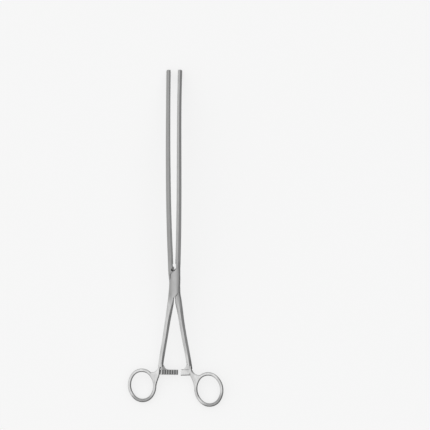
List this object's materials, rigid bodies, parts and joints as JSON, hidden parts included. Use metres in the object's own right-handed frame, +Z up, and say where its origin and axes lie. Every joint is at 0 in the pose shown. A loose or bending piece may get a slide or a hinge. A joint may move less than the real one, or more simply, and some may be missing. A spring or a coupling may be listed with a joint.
{
  "type": "intestinal forceps",
  "caption": "Long surgical clamp with curved elastic jaws grooved along their length, a riveted box lock, finger rings and a ratchet that keeps the jaws shut.",
  "frame": {"origin": "middle of the bounding box on the surface the forceps lies on", "axes": "+Y towards the jaws' tips, +Z up from the surface, +X to the half whose jaw is part of the outer half of the box lock"},
  "size_m": [0.0906, 0.3198, 0.0346],
  "materials": {
    "satin_steel": "satin stainless steel"
  },
  "bodies": {
    "outer_half": {"box_half": "satin_steel", "lock_pin": "satin_steel"},
    "inner_half": {"tongue_half": "satin_steel"}
  },
  "joints": [
    {"name": "box_lock", "type": "hinge", "parent": "outer_half", "child": "inner_half", "pos_m": [-0.00047, -0.04239, 0.02225], "axis": [-0.012, -0.1741, 0.9846], "range_deg": [-2, 73]}
  ]
}
